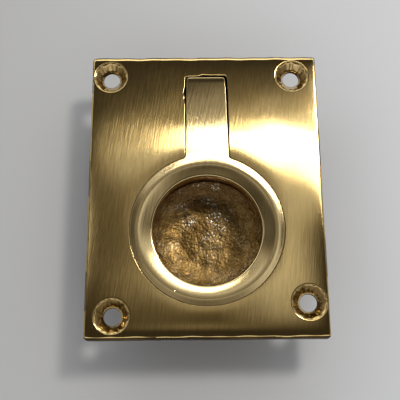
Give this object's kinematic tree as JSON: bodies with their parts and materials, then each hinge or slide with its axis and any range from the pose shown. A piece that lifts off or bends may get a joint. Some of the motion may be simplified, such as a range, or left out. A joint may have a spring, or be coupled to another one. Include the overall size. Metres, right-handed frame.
{
  "type": "flush ring pull",
  "caption": "Recessed ring pull for a door, drawer or hatch: a rectangular cast brass plate with a finger cup and a hinged ring that lies flush in it.",
  "frame": {"origin": "under the centre of the plate, at the level of the finger cup's flat base", "axes": "+Z out of the face, +Y towards the hinge end of the plate, +X to the right seen from the front"},
  "size_m": [0.05, 0.063, 0.013],
  "materials": {
    "cast_brass": "hand-polished face, rough as-cast cup and back",
    "ring_brass": "hand-polished",
    "pin_brass": "drawn, satin"
  },
  "bodies": {
    "plate": {"plate_casting": "cast_brass", "hinge_pin": "pin_brass"},
    "ring": {"ring_handle": "ring_brass"}
  },
  "joints": [
    {"name": "ring_hinge", "type": "hinge", "parent": "plate", "child": "ring", "pos_m": [0.00025, 0.0227, 0.0094], "axis": [-1, 0, 0], "range_deg": [0, 90]}
  ]
}
